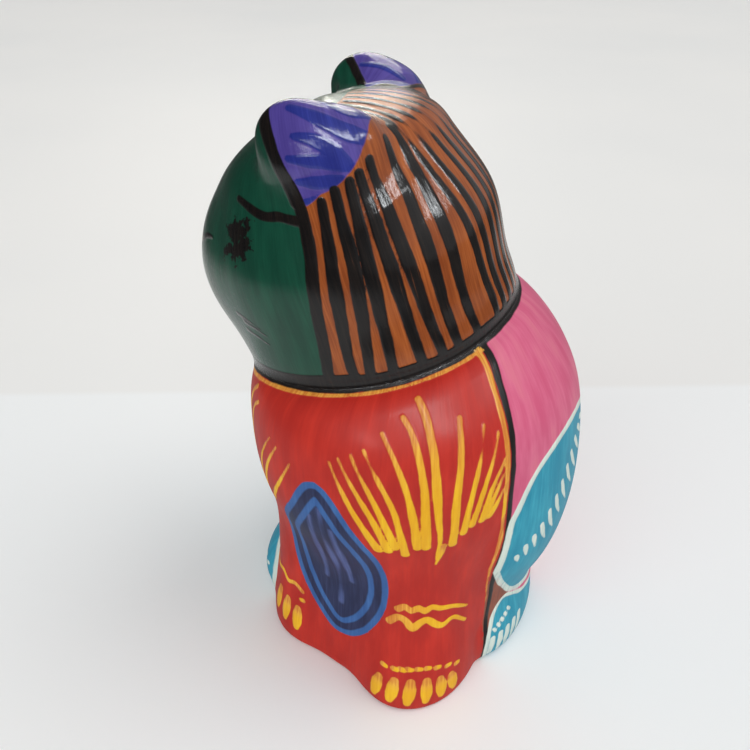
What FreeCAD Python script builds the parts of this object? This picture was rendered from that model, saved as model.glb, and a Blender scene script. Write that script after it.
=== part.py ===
import FreeCAD, Part
import os

# A small seated cat, hand-built in clay from thin shells and luted lumps, then fired, painted and
# varnished. The body faces -Y, the cat's left is +X and the flat foot ring stands on z = 0.
# The head is turned to the cat's right and dips its chin; it has a frame of its own, whose
# origin is the centre of the neck joint. All lengths are millimetres.

os.makedirs("parts", exist_ok=True)
doc = FreeCAD.newDocument("seated_cat")
Vector, Rotation, Placement = FreeCAD.Vector, FreeCAD.Rotation, FreeCAD.Placement

# ---------------------------------------------------------------- driving dimensions
sheet = doc.addObject("Spreadsheet::Sheet", "dims")
dim_row = 0


def dim(name, value, note):
    """Write one driving dimension with its alias and what it sets."""
    global dim_row
    dim_row += 1
    sheet.set("A%d" % dim_row, note)
    sheet.set("B%d" % dim_row, str(value))
    sheet.setAlias("B%d" % dim_row, name)


def profile(name, rows, note):
    """Write a stack of level ellipses: height, centre y, half width, half depth."""
    for i, row in enumerate(rows):
        for key, value in zip(("z", "yc", "rx", "ry"), row):
            dim("%s_%s%d" % (name, key, i), value, "%s, ring %d %s" % (note, i, key))
    return len(rows)


dim("wall", 4.5, "shell thickness")
dim("seat_depth", 2.2, "how deep a luted lump is let into the shell")
dim("floor_thick", 5.0, "thickness of the floor slab inside the foot ring")
dim("vent_radius", 4.0, "firing vent through the floor")
dim("vent_y", 12.0, "firing vent centre, y")
dim("coronal_y", -14.0, "plane where the chest shell meets the back shell")
dim("neck_x", -3.7, "neck joint centre, x")
dim("neck_y", -2.4, "neck joint centre, y")
dim("neck_z", 65.9, "neck joint centre, z")
dim("coil_major", 18.0, "neck coil, ring radius")
dim("coil_minor", 3.2, "neck coil, clay thickness radius")

BODY_RINGS = profile("body", [
    (0.0, -1.0, 24.5, 29.3),
    (12.0, -0.5, 26.0, 28.8),
    (26.0, 0.0, 27.2, 28.8),
    (42.0, -1.4, 29.6, 32.2),
    (54.0, -1.8, 30.2, 32.4),
    (63.0, -2.2, 27.8, 29.8),
    (70.0, -1.5, 22.8, 24.2),
    (75.0, -2.0, 17.6, 18.8),
    (79.0, -2.0, 10.5, 11.5)], "body outside")
HEAD_RINGS = profile("head", [
    (0.0, -2.0, 23.6, 23.7),
    (2.5, -2.0, 24.2, 24.7),
    (10.0, -2.4, 24.2, 25.1),
    (21.5, -2.6, 23.8, 25.3),
    (32.5, -1.8, 19.3, 20.3),
    (38.7, -0.8, 13.3, 13.8),
    (41.8, -0.3, 5.0, 5.4)], "head outside")

dim("muzzle_y", -18.5, "muzzle centre, y in the head")
dim("muzzle_z", 18.0, "muzzle centre, z in the head")
dim("muzzle_rx", 14.0, "muzzle half width")
dim("muzzle_ry", 12.6, "muzzle reach")
dim("muzzle_rz", 14.5, "muzzle half height")

dim("leg_foot_z", 9.0, "top of the forepaw, where the foreleg starts")
dim("leg_height", 36.0, "height of the foreleg's taper into the chest")
dim("leg_x", 11.4, "foreleg centre, x")
dim("leg_y", -18.7, "foreleg centre, y")
dim("leg_r", 9.9, "foreleg radius at its foot")
dim("paw_x", 12.2, "forepaw centre, x")
dim("paw_y", -20.8, "forepaw centre, y")
dim("paw_rx", 10.0, "forepaw half width")
dim("paw_ry", 11.8, "forepaw half length")
dim("paw_rz", 16.0, "forepaw height of the full dome, cut off at the foreleg")

dim("haunch_out", 20.2, "haunch centre, distance from the body's axis")
dim("haunch_turn", 11.0, "haunch centre, angle behind straight sideways, degrees")
dim("haunch_z", 39.5, "haunch centre, z")
dim("haunch_rx", 11.4, "haunch half thickness")
dim("haunch_ry", 20.5, "haunch half length")
dim("haunch_rz", 27.0, "haunch half height")
dim("hind_x", 20.0, "hind paw centre, x")
dim("hind_y", -2.3, "hind paw centre, y")
dim("hind_z", 5.0, "hind paw centre, z")
dim("hind_rx", 7.4, "hind paw half width")
dim("hind_ry", 13.7, "hind paw half length")
dim("hind_rz", 12.5, "hind paw half height")

dim("tail_x", -1.5, "tail arc centre, x")
dim("tail_y", 3.8, "tail arc centre, y")
dim("tail_z", 4.4, "tail arc height")
dim("tail_sweep", 24.6, "tail arc radius")
dim("tail_r", 4.5, "tail thickness radius")
dim("tail_angle", 72.0, "angle the tail wraps round the body")

dim("ear_root_x", 12.6, "ear root centre, x in the head")
dim("ear_root_y", 4.4, "ear root centre, y in the head")
dim("ear_root_z", 28.0, "ear root height in the head")
dim("ear_root_rx", 8.8, "ear root half width")
dim("ear_root_ry", 9.0, "ear root half depth")
dim("ear_mid_x", 14.6, "ear middle, x")
dim("ear_mid_y", 2.8, "ear middle, y")
dim("ear_mid_z", 37.4, "ear middle height")
dim("ear_mid_rx", 6.4, "ear middle half width")
dim("ear_mid_ry", 6.8, "ear middle half depth")
dim("ear_tip_x", 16.2, "ear tip, x")
dim("ear_tip_y", -0.4, "ear tip, y")
dim("ear_tip_z", 44.6, "ear tip height")
dim("ear_tip_r", 1.6, "ear tip radius")
doc.recompute()

HEAD_YAW = -74.0
HEAD_DIP = 16.8
HEAD_FRAME = Placement(
    Vector(sheet.get("neck_x"), sheet.get("neck_y"), sheet.get("neck_z")),
    Rotation(Vector(0, 0, 1), HEAD_YAW).multiply(Rotation(Vector(1, 0, 0), HEAD_DIP)))
BODY_FRAME = Placement()
QUARTER = Rotation(Vector(0, 0, 1), 90)


# ---------------------------------------------------------------- shape helpers
def bind(obj, **formulas):
    """Tie properties of an object to the sheet; double underscores stand for dots."""
    for key, formula in formulas.items():
        obj.setExpression(key.replace("__", "."), formula)
    return obj


def ring(name, x, y, z, rx, ry):
    """A level ellipse whose long axis is y."""
    obj = doc.addObject("Part::Ellipse", name)
    obj.Placement = Placement(Vector(0, 0, 0), QUARTER)
    return bind(obj, MajorRadius=ry, MinorRadius=rx,
                Placement__Base__x=x, Placement__Base__y=y, Placement__Base__z=z)


def loft(name, rings, frame):
    """A smooth solid through a stack of rings, carried into its frame."""
    obj = doc.addObject("Part::Loft", name)
    obj.Sections = rings
    obj.Solid = True
    obj.Ruled = False
    obj.Placement = frame
    return obj


def ring_stack(name, base, count, inset, frame):
    """The solid inside one profile of the sheet, drawn in by the given inset all round."""
    rings = []
    last = "dims.%s_z%d" % (base, count - 1)
    for i in range(count):
        key = "dims." + base + "_%s" + str(i)
        rings.append(ring("%s_ring%d" % (name, i), "0", key % "yc",
                          "%s * (1 - %s / %s)" % (key % "z", inset, last),
                          "%s - %s" % (key % "rx", inset), "%s - %s" % (key % "ry", inset)))
    return loft(name, rings, frame)


def ball(name, x, y, z, rx, ry, rz, frame):
    """An ellipsoid; the sheet drives its three radii and its centre."""
    obj = doc.addObject("Part::Ellipsoid", name)
    obj.Angle1, obj.Angle2, obj.Angle3 = -90, 90, 360
    bind(obj, Radius1=rz, Radius2=rx, Radius3=ry)
    centre = Vector(x, y, z)
    obj.Placement = frame.multiply(Placement(centre, Rotation()))
    return obj


def block(name, corner, size, frame):
    """A plain cutting block, given by its low corner and its size."""
    obj = doc.addObject("Part::Box", name)
    obj.Length, obj.Width, obj.Height = size
    obj.Placement = frame.multiply(Placement(Vector(*corner), Rotation()))
    return obj


def fuse(name, *shapes):
    obj = doc.addObject("Part::MultiFuse", name)
    obj.Shapes = list(shapes)
    return obj


def cut(name, base, *tools):
    obj = doc.addObject("Part::Cut", name)
    obj.Base = base
    obj.Tool = tools[0] if len(tools) == 1 else fuse(name + "_tools", *tools)
    return obj


def common(name, first, second):
    obj = doc.addObject("Part::MultiCommon", name)
    obj.Shapes = [first, second]
    return obj


# ---------------------------------------------------------------- envelopes and cutting blocks
body_solid = ring_stack("body_solid", "body", BODY_RINGS, "0", BODY_FRAME)
body_seat = ring_stack("body_seat", "body", BODY_RINGS, "dims.seat_depth", BODY_FRAME)
body_cavity = ring_stack("body_cavity", "body", BODY_RINGS, "dims.wall", BODY_FRAME)
head_form = ring_stack("head_form", "head", HEAD_RINGS, "0", HEAD_FRAME)
head_cavity = ring_stack("head_cavity", "head", HEAD_RINGS, "dims.wall", HEAD_FRAME)
muzzle = ball("muzzle", 0, sheet.get("muzzle_y"), sheet.get("muzzle_z"),
              "dims.muzzle_rx", "dims.muzzle_ry", "dims.muzzle_rz", HEAD_FRAME)
head_solid = fuse("head_solid", head_form, muzzle)

coronal = sheet.get("coronal_y")
above_neck = block("above_neck", (-60, -60, 0), (120, 120, 80), HEAD_FRAME)
below_neck = block("below_neck", (-60, -60, -80), (120, 120, 80), HEAD_FRAME)
behind_coronal = block("behind_coronal", (-60, coronal, -10), (120, 80, 120), BODY_FRAME)
before_coronal = block("before_coronal", (-60, coronal - 80, -10), (120, 80, 120), BODY_FRAME)
underground = block("underground", (-60, -60, -40), (120, 120, 40), BODY_FRAME)
head_rear_half = block("head_rear_half", (-60, 0, -20), (120, 60, 90), HEAD_FRAME)
head_front_half = block("head_front_half", (-60, -60, -20), (120, 60, 90), HEAD_FRAME)
floor_depth = block("floor_depth", (-60, -60, 0), (120, 120, sheet.get("floor_thick")), BODY_FRAME)

nodes = {}


# ---------------------------------------------------------------- lumps luted to the body
def forepaw(side, label):
    """A domed paw with a flat foot; its top is flat where the foreleg stands on it."""
    dome = ball(label + "_dome", side * sheet.get("paw_x"), sheet.get("paw_y"), 0,
                "dims.paw_rx", "dims.paw_ry", "dims.paw_rz", BODY_FRAME)
    over = block(label + "_over", (-60, -60, sheet.get("leg_foot_z")), (120, 120, 60), BODY_FRAME)
    return cut(label, dome, underground, over, body_seat)


def foreleg(side, label):
    """An upright leg that tapers up into the chest wall."""
    foot = sheet.get("leg_foot_z")
    column = ball(label + "_column", side * sheet.get("leg_x"), sheet.get("leg_y"), foot,
                  "dims.leg_r", "dims.leg_r", "dims.leg_height", BODY_FRAME)
    under = block(label + "_under", (-60, -60, foot - 60), (120, 120, 60), BODY_FRAME)
    return cut(label, column, under, body_seat)


def hind_paw(side, label):
    """A long low paw under the thigh."""
    dome = ball(label + "_dome", side * sheet.get("hind_x"), sheet.get("hind_y"), sheet.get("hind_z"),
                "dims.hind_rx", "dims.hind_ry", "dims.hind_rz", BODY_FRAME)
    return cut(label, dome, underground, body_seat)


def haunch(side, label, paw, leg):
    """A thigh pad that wraps the flank, let into both body shells."""
    turn = Placement(Vector(0, 0, 0), Rotation(Vector(0, 0, 1), side * sheet.get("haunch_turn")))
    pad = ball(label + "_pad", side * sheet.get("haunch_out"), 0, sheet.get("haunch_z"),
               "dims.haunch_rx", "dims.haunch_ry", "dims.haunch_rz", turn)
    return cut(label, pad, body_seat, paw, leg)


def ear(side, label):
    """A pointed ear rising from the crown, trimmed to the head's surface."""
    rings = []
    for stop in ("root", "mid", "tip"):
        radii = ("dims.ear_tip_r", "dims.ear_tip_r * 1.1") if stop == "tip" else (
            "dims.ear_%s_rx" % stop, "dims.ear_%s_ry" % stop)
        rings.append(ring("%s_%s" % (label, stop), "%d * dims.ear_%s_x" % (side, stop),
                          "dims.ear_%s_y" % stop, "dims.ear_%s_z" % stop, *radii))
    return cut(label, loft(label + "_form", rings, HEAD_FRAME), head_solid)


for side, hand in ((1, "left"), (-1, "right")):
    nodes[hand + "_forepaw"] = forepaw(side, hand + "_forepaw")
    nodes[hand + "_foreleg"] = foreleg(side, hand + "_foreleg")
    nodes[hand + "_hind_paw"] = hind_paw(side, hand + "_hind_paw")
    nodes[hand + "_haunch"] = haunch(side, hand + "_haunch", nodes[hand + "_hind_paw"],
                                     nodes[hand + "_foreleg"])
    nodes[hand + "_ear"] = ear(side, hand + "_ear")

# the tail lies on the ground round the back and the right flank
tail_arc = doc.addObject("Part::Torus", "tail_arc")
bind(tail_arc, Radius1="dims.tail_sweep", Radius2="dims.tail_r", Angle3="dims.tail_angle")
tail_arc.Placement = Placement(
    Vector(sheet.get("tail_x"), sheet.get("tail_y"), sheet.get("tail_z")),
    Rotation(Vector(0, 0, 1), 80))
tail_end_turn = Rotation(Vector(0, 0, 1), 80 + sheet.get("tail_angle"))
tail_ends = []
for end_name, turn in (("tail_root", tail_arc.Placement.Rotation), ("tail_tip", tail_end_turn)):
    end = doc.addObject("Part::Sphere", end_name)
    bind(end, Radius="dims.tail_r")
    reach = turn.multVec(Vector(sheet.get("tail_sweep"), 0, 0))
    end.Placement = Placement(tail_arc.Placement.Base + reach, Rotation())
    tail_ends.append(end)
tail_form = fuse("tail_form", tail_arc, *tail_ends)
nodes["tail"] = cut("tail", tail_form, underground, body_seat, nodes["right_hind_paw"],
                    nodes["right_haunch"])

# ---------------------------------------------------------------- shells, floor and neck coil
lumps = [obj for name, obj in nodes.items() if not name.endswith("_ear")]
nodes["chest_shell"] = cut("chest_shell", body_solid, body_cavity, head_solid, behind_coronal, *lumps)
nodes["back_shell"] = cut("back_shell", body_solid, body_cavity, head_solid, before_coronal, *lumps)
nodes["face_shell"] = cut("face_shell", head_solid, head_cavity, below_neck, head_rear_half)
nodes["head_rear_shell"] = cut("head_rear_shell", head_solid, head_cavity, below_neck,
                               head_front_half)

vent = doc.addObject("Part::Cylinder", "vent")
bind(vent, Radius="dims.vent_radius", Height="dims.floor_thick * 3",
     Placement__Base__y="dims.vent_y", Placement__Base__z="-dims.floor_thick")
floor_disc = common("floor_disc", body_cavity, floor_depth)
nodes["floor_slab"] = cut("floor_slab", floor_disc, vent)

coil_ring = doc.addObject("Part::Torus", "coil_ring")
bind(coil_ring, Radius1="dims.coil_major", Radius2="dims.coil_minor")
coil_ring.Placement = HEAD_FRAME
body_hollow = cut("body_hollow", body_cavity, above_neck)
hollow = fuse("hollow", body_hollow, head_cavity)
nodes["neck_coil"] = common("neck_coil", coil_ring, hollow)

# ---------------------------------------------------------------- check and export
doc.recompute()
for obj in doc.Objects:
    if "Invalid" in obj.State or "Error" in obj.State:
        raise RuntimeError("%s did not recompute: %s" % (obj.Label, obj.State))
for label, obj in sorted(nodes.items()):
    shape = obj.Shape
    if shape.isNull() or not shape.isValid() or shape.Volume <= 0:
        raise RuntimeError("%s has no sound shape" % label)
    obj.Label = label
    shape.exportStep("parts/%s.step" % label)
    box = shape.optimalBoundingBox()
    print("%-16s solids %d  volume %8.0f  x %6.1f..%6.1f  y %6.1f..%6.1f  z %6.1f..%6.1f" % (
        label, len(shape.Solids), shape.Volume, box.XMin, box.XMax, box.YMin, box.YMax,
        box.ZMin, box.ZMax))
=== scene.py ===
"""Looks for the small painted clay cat: one skin of clay, divided into the CAD pieces and painted.

Lengths in the shape and paint sections are millimetres, as in the CAD; meshes are made in metres.
The body is described by (theta, z): the angle from the front (-Y) towards the left (+X), and height.
The head is described by (phi, w): the angle round the head's own axis, and height above the neck joint.
"""
import math

import bpy
import numpy as np
import openvdb
from mathutils import Matrix, Vector


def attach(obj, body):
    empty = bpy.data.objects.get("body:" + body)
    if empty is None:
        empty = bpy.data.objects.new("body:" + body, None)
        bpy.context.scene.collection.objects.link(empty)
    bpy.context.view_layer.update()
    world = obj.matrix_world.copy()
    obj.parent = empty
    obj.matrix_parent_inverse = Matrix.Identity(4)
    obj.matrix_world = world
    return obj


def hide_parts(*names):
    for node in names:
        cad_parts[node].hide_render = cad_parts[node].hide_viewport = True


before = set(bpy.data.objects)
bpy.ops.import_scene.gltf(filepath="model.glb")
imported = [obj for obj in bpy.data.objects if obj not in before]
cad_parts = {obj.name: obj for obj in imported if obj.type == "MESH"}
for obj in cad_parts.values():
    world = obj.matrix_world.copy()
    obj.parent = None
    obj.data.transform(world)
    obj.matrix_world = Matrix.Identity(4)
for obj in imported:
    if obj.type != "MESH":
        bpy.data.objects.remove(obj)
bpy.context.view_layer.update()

MM = 0.001
STEP = 0.42                     # grid step of the clay, mm
CUT_OFF = 3.0                   # paint distances are cut off here, mm


# -------------------- clay: small maths
def smin(a, b, k):
    """Union of two distances with a fillet of about k."""
    h = np.clip(0.5 + 0.5 * (b - a) / k, 0, 1)
    return b * (1 - h) + a * h - k * h * (1 - h)


def smax(a, b, k):
    """Overlap of two distances, with the edge rounded by about k."""
    return -smin(-a, -b, k)


def natural_spline(knots, values, at):
    """Natural cubic spline through the knots."""
    knots, values = np.asarray(knots, float), np.asarray(values, float)
    n, h = len(knots), np.diff(knots)
    matrix, rhs = np.eye(n), np.zeros(n)
    for i in range(1, n - 1):
        matrix[i, i - 1:i + 2] = h[i - 1], 2 * (h[i - 1] + h[i]), h[i]
        rhs[i] = 6 * ((values[i + 1] - values[i]) / h[i] - (values[i] - values[i - 1]) / h[i - 1])
    bend = np.linalg.solve(matrix, rhs)
    i = np.clip(np.searchsorted(knots, at) - 1, 0, n - 2)
    a, b = (knots[i + 1] - at) / h[i], (at - knots[i]) / h[i]
    curl = ((a ** 3 - a) * bend[i] + (b ** 3 - b) * bend[i + 1]) * h[i] ** 2 / 6
    return a * values[i] + b * values[i + 1] + curl


class RingStack:
    """A solid through level ellipses: rows of height, centre y, half width, half depth."""

    def __init__(self, rows):
        columns = np.array(rows).T
        self.z = np.linspace(columns[0][0], columns[0][-1], 400)
        self.yc, self.rx, self.ry = (natural_spline(columns[0], c, self.z) for c in columns[1:])
        self.slope = np.gradient((self.rx + self.ry) / 2, self.z)

    def __call__(self, x, y, z):
        yc, rx, ry, slope = (np.interp(z, self.z, v) for v in (self.yc, self.rx, self.ry, self.slope))
        across = np.sqrt(x * x + (y - yc) ** 2)
        rho = np.sqrt((x / rx) ** 2 + ((y - yc) / ry) ** 2) + 1e-6
        return (across - across / rho) / np.sqrt(1 + slope ** 2)


def ball(x, y, z, rx, ry, rz):
    """Distance to an ellipsoid at the origin, close enough near its surface."""
    k0 = np.sqrt((x / rx) ** 2 + (y / ry) ** 2 + (z / rz) ** 2) + 1e-6
    k1 = np.sqrt((x / rx ** 2) ** 2 + (y / ry ** 2) ** 2 + (z / rz ** 2) ** 2) + 1e-6
    return k0 * (k0 - 1) / k1


def round_cone(x, y, z, a, b, ra, rb):
    """Distance to a ball of radius ra swept to one of radius rb."""
    ax = np.subtract(b, a)
    t = np.clip(((x - a[0]) * ax[0] + (y - a[1]) * ax[1] + (z - a[2]) * ax[2]) / (ax @ ax), 0, 1)
    gap = np.sqrt((x - a[0] - t * ax[0]) ** 2 + (y - a[1] - t * ax[1]) ** 2
                  + (z - a[2] - t * ax[2]) ** 2)
    return gap - (ra + (rb - ra) * t)


# -------------------- clay: the CAD's dimensions
BODY = RingStack([(0, -1, 24.5, 29.3), (12, -0.5, 26, 28.8), (26, 0, 27.2, 28.8),
                  (42, -1.4, 29.6, 32.2), (54, -1.8, 30.2, 32.4), (63, -2.2, 27.8, 29.8),
                  (70, -1.5, 22.8, 24.2), (75, -2, 17.6, 18.8), (79, -2, 10.5, 11.5)])
HEAD = RingStack([(0, -2, 23.6, 23.7), (2.5, -2, 24.2, 24.7), (10, -2.4, 24.2, 25.1),
                  (21.5, -2.6, 23.8, 25.3), (32.5, -1.8, 19.3, 20.3), (38.7, -0.8, 13.3, 13.8),
                  (41.8, -0.3, 5, 5.4)])
NECK = np.array([-3.7, -2.4, 65.9])
YAW, DIP = math.radians(-74.0), math.radians(16.8)
# the columns are the head's own axes
HEAD_AXES = np.array([list(row) for row in
                      Matrix.Rotation(YAW, 3, "Z") @ Matrix.Rotation(DIP, 3, "X")])
BODY_TOP, HEAD_TOP = 79.0, 42.2
HAUNCH_OUT, HAUNCH_TURN, HAUNCH_Z = 20.2, math.radians(11.0), 39.5
TAIL_AT, TAIL_SWEEP, TAIL_R, TAIL_FROM, TAIL_TO = (-1.5, 3.8, 4.4), 24.6, 4.5, 80.0, 152.0
EAR_FLAT = 0.84                 # an ear's width as a share of its depth
LUMPS = ("foreleg", "forepaw", "haunch", "hind_paw")
LEG_BACK, PAW_BACK = 1.2, 3.2   # how far the right foreleg and forepaw are set back


def to_head(x, y, z):
    """Points in the head's own frame."""
    x, y, z = x - NECK[0], y - NECK[1], z - NECK[2]
    return [x * a[0] + y * a[1] + z * a[2] for a in HEAD_AXES.T]


def from_head(points):
    """Points of the head's own frame, back in the figure's frame."""
    return np.asarray(points, float) @ HEAD_AXES.T + NECK


def lump(kind, side, x, y, z):
    """Distance to one of the lumps luted to the body."""
    far = side < 0
    if kind == "foreleg":
        return ball(x - side * 11.4, y + 18.7 - LEG_BACK * far, z - 9, 9.9, 9.9, 36)
    if kind == "forepaw":
        return ball(x - side * 12.2, y + 20.8 - PAW_BACK * far, z, 10, 11.8, 16)
    if kind == "hind_paw":
        return ball(x - side * 20, y + 2.3, z - 5, 7.4, 13.7, 12.5)
    cos, sin = math.cos(side * HAUNCH_TURN), math.sin(side * HAUNCH_TURN)
    along, across = x * cos + y * sin - side * HAUNCH_OUT, -x * sin + y * cos
    return ball(along, across, z - HAUNCH_Z, 11.4, 20.5, 27)


def toes_right(x, y, z):
    """The right hind paw reaches further forward than the left one."""
    return ball(x + 21.3, y + 11.5, z - 8, 7.2, 12.8, 10.5)


def tail(x, y, z):
    """A coil that lies on the back and right flank and tapers to its tip."""
    dx, dy = x - TAIL_AT[0], y - TAIL_AT[1]
    turn = np.clip(np.degrees(np.arctan2(dy, dx)), TAIL_FROM, TAIL_TO)
    taper = TAIL_R - 0.9 * (turn - TAIL_FROM) / (TAIL_TO - TAIL_FROM)
    turn = np.radians(turn)
    return np.sqrt((dx - TAIL_SWEEP * np.cos(turn)) ** 2 + (dy - TAIL_SWEEP * np.sin(turn)) ** 2
                   + (z - TAIL_AT[2]) ** 2) - taper


def body_shape(x, y, z, head):
    """The trunk, tucked under the head's rim, and all the lumps on it, blended."""
    u, v, w = head
    phi = np.arctan2(v, u)
    tuck = np.minimum(0.7 + 4.9 * (1 - np.cos(phi - math.radians(32))), 8)
    trunk = smax(BODY(x, y, z), z - BODY_TOP, 2.0)
    trunk = smax(trunk, w - tuck, 3.0)
    whole = trunk
    for kind, fillet in zip(LUMPS, (5.0, 5.5, 2.2, 1.4)):
        for side in (1, -1):
            whole = smin(whole, lump(kind, side, x, y, z), fillet)
    whole = smin(whole, toes_right(x, y, z), 2.5)
    return trunk, smin(whole, tail(x, y, z), 1.2)


def ear_shape(side, u, v, w):
    """A broad rounded lobe with a hollow front; the right one stands a little higher."""
    if side < 0:
        v, w = v - 0.2, w - 0.7
    u, v = u * side, v * EAR_FLAT
    lobe = smin(round_cone(u, v, w, (12.6, 2.8, 28), (15.0, 1.4, 36.6), 8.9, 6.2),
                ball(u - 15.9, v - 0.5, w - 39.5, 3.8, 5.2, 5.3), 1.6)
    lobe = smin(lobe, ball(u - 14.2, v - (4.2 if side > 0 else 3.0), w - 36.0, 5.4, 6.4, 6.0), 3.0)
    hollow = ball(u - 10.9, v + 6.4, w - 38.4, 4.0, 4.4, 5.8)
    return smax(lobe, -hollow, 1.5)


def head_shape(u, v, w):
    """Skull, muzzle and ears; returns the skull with its muzzle, and the whole."""
    skull = smax(HEAD(u, v, w), w - HEAD_TOP, 2.5)
    skull = smin(skull, ball(u, v + 18.5, w - 18, 14, 11.6, 14.5), 6.0)
    whole = skull
    for side in (1, -1):
        whole = smin(whole, ear_shape(side, u, v, w), 3.0)
    return skull, smax(whole, -w, 1.6)


def clay(x, y, z):
    """Distance to the whole outside."""
    head = to_head(x, y, z)
    whole = smin(body_shape(x, y, z, head)[1], head_shape(*head)[1], 1.8)
    return smax(whole, -z, 1.2)


def gradient(shape, p, h=0.25):
    """Slope of a distance at each point, over a step of h either way."""
    out = np.empty_like(p)
    for i in range(3):
        d = np.zeros(3)
        d[i] = h
        out[:, i] = (shape(*(p + d).T) - shape(*(p - d).T)) / (2 * h)
    return out


# -------------------- clay: the skin
GRID_LOW, GRID_HIGH = np.array([-43.0, -39.0, -2.5]), np.array([37.0, 37.5, 113.0])
SLICE = 12                      # grid planes worked out at a time, to save memory
counts = np.ceil((GRID_HIGH - GRID_LOW) / STEP).astype(int)
axes = [GRID_LOW[i] + STEP * np.arange(counts[i]) for i in range(3)]
volume = np.empty(tuple(counts), np.float32)
for start in range(0, counts[0], SLICE):
    xs = axes[0][start:start + SLICE, None, None]
    volume[start:start + SLICE] = clay(xs, axes[1][None, :, None], axes[2][None, None, :])
grid = openvdb.FloatGrid()
grid.copyFromArray(volume)
skin, quads = grid.convertToQuads(0.0)
skin = GRID_LOW + STEP * skin.astype(float)
for _ in range(3):
    slope = gradient(clay, skin)
    skin -= (clay(*skin.T) / np.maximum((slope ** 2).sum(1), 0.05))[:, None] * slope
slope = gradient(clay, skin)
normals = slope / np.linalg.norm(slope, axis=1)[:, None]
quads = quads.astype(int)
tris = np.vstack([quads[:, (0, 1, 2)], quads[:, (0, 2, 3)]])
facing = np.cross(skin[tris[:, 1]] - skin[tris[:, 0]], skin[tris[:, 2]] - skin[tris[:, 0]])
if (facing * normals[tris[:, 0]]).sum() < 0:
    tris = tris[:, ::-1]

# -------------------- paint: places on the surface
head_at = np.stack(to_head(*skin.T), 1)
theta = np.degrees(np.arctan2(skin[:, 0], -skin[:, 1]))
phi = np.degrees(np.arctan2(head_at[:, 1], head_at[:, 0]))
head_core, head_all = head_shape(*head_at.T)
body_core, body_all = body_shape(*skin.T, head_at.T)
on_head = head_all < body_all


def settle(points, shape):
    """Move points onto a surface along its slope."""
    points = np.array(points, float)
    for _ in range(8):
        slope = gradient(shape, points)
        gap = shape(*points.T)
        points -= (gap / np.maximum((slope ** 2).sum(1), 0.1))[:, None] * slope
    return points


def body_only(x, y, z):
    """Distance to the body, without the head."""
    return body_shape(x, y, z, to_head(x, y, z))[1]


def head_only(x, y, z):
    """Distance to the head, without the body."""
    return head_shape(*to_head(x, y, z))[1]


RAY_FROM, RAY_TO, RAY_STEP = 46.0, 1.0, 0.25


def cast(origins, directions, shape):
    """Outermost crossing of each ray, walking in towards its origin."""
    reach = np.arange(RAY_FROM, RAY_TO, -RAY_STEP)
    p = origins[:, None, :] + reach[None, :, None] * directions[:, None, :]
    inside = shape(*np.moveaxis(p, 2, 0)) < 0
    first = np.where(inside.any(1), inside.argmax(1), len(reach) - 1)
    return settle(p[np.arange(len(p)), first], shape)


def at_body(points):
    """(theta, z) pairs to points on the body."""
    angle, z = np.radians([p[0] for p in points]), np.array([p[1] for p in points], float)
    zero = np.zeros_like(z)
    return cast(np.stack([zero, zero, z], 1), np.stack([np.sin(angle), -np.cos(angle), zero], 1),
                body_only)


def at_head(points):
    """(phi, w) pairs to points on the head."""
    angle, w = np.radians([p[0] for p in points]), np.array([p[1] for p in points], float)
    zero = np.zeros_like(w)
    out = np.stack([np.cos(angle), np.sin(angle), zero], 1) @ HEAD_AXES.T
    return cast(from_head(np.stack([zero, zero, w], 1)), out, head_only)


def at_crown(points):
    """(u, v) pairs seen from above the head to points on it."""
    flat = np.array([(u, v, 0) for u, v in points], float)
    return cast(from_head(flat), np.tile(HEAD_AXES[:, 2], (len(flat), 1)), head_only)


def flow(points, pitch=0.5):
    """A smooth line through the points, with a point about every pitch."""
    points = np.asarray(points, float)
    if len(points) < 3:
        n = max(2, int(np.linalg.norm(points[-1] - points[0]) / pitch) + 1)
        return points[0] + (points[-1] - points[0]) * np.linspace(0, 1, n)[:, None]
    ends = np.vstack([2 * points[0] - points[1], points, 2 * points[-1] - points[-2]])
    out = []
    for i in range(1, len(ends) - 2):
        a, b, c, d = ends[i - 1:i + 3]
        n = max(1, int(np.linalg.norm(c - b) / pitch))
        t = (np.arange(n) / n)[:, None]
        out.append(0.5 * (2 * b + (c - a) * t + (2 * a - 5 * b + 4 * c - d) * t ** 2
                          + (3 * b - a - 3 * c + d) * t ** 3))
    return np.vstack(out + [points[-1:]])


class Layer:
    """One colour of paint: distance to its edge (negative inside) and place along the stroke."""

    def __init__(self):
        self.gap = np.full(len(skin), CUT_OFF)
        self.run = np.zeros(len(skin))

    def line(self, points, widths, where):
        """A stroke along points on the surface; widths are given from its start to its end."""
        points = flow(points)
        share = np.linspace(0, 1, len(points))
        half = np.interp(share, np.linspace(0, 1, len(widths)), widths) / 2
        lo, hi = points.min(0) - CUT_OFF, points.max(0) + CUT_OFF
        near = np.nonzero(((skin > lo) & (skin < hi)).all(1) & where)[0]
        best, run = np.full(len(near), CUT_OFF), np.zeros(len(near))
        p = skin[near]
        for a, b, ha, hb, t0, t1 in zip(points, points[1:], half, half[1:], share, share[1:]):
            ab = b - a
            t = np.clip((p - a) @ ab / max(ab @ ab, 1e-9), 0, 1)
            gap = np.sqrt(((p - a - t[:, None] * ab) ** 2).sum(1)) - (ha + (hb - ha) * t)
            closer = gap < best
            best[closer], run[closer] = gap[closer], (t0 + (t1 - t0) * t)[closer]
        closer = best < self.gap[near]
        self.gap[near[closer]], self.run[near[closer]] = best[closer], run[closer]

    def field(self, gap, where):
        """Join an area given by its own distance."""
        gap = np.where(where, np.clip(gap, -3 * CUT_OFF, CUT_OFF), CUT_OFF)
        self.gap = np.minimum(self.gap, gap)


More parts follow.
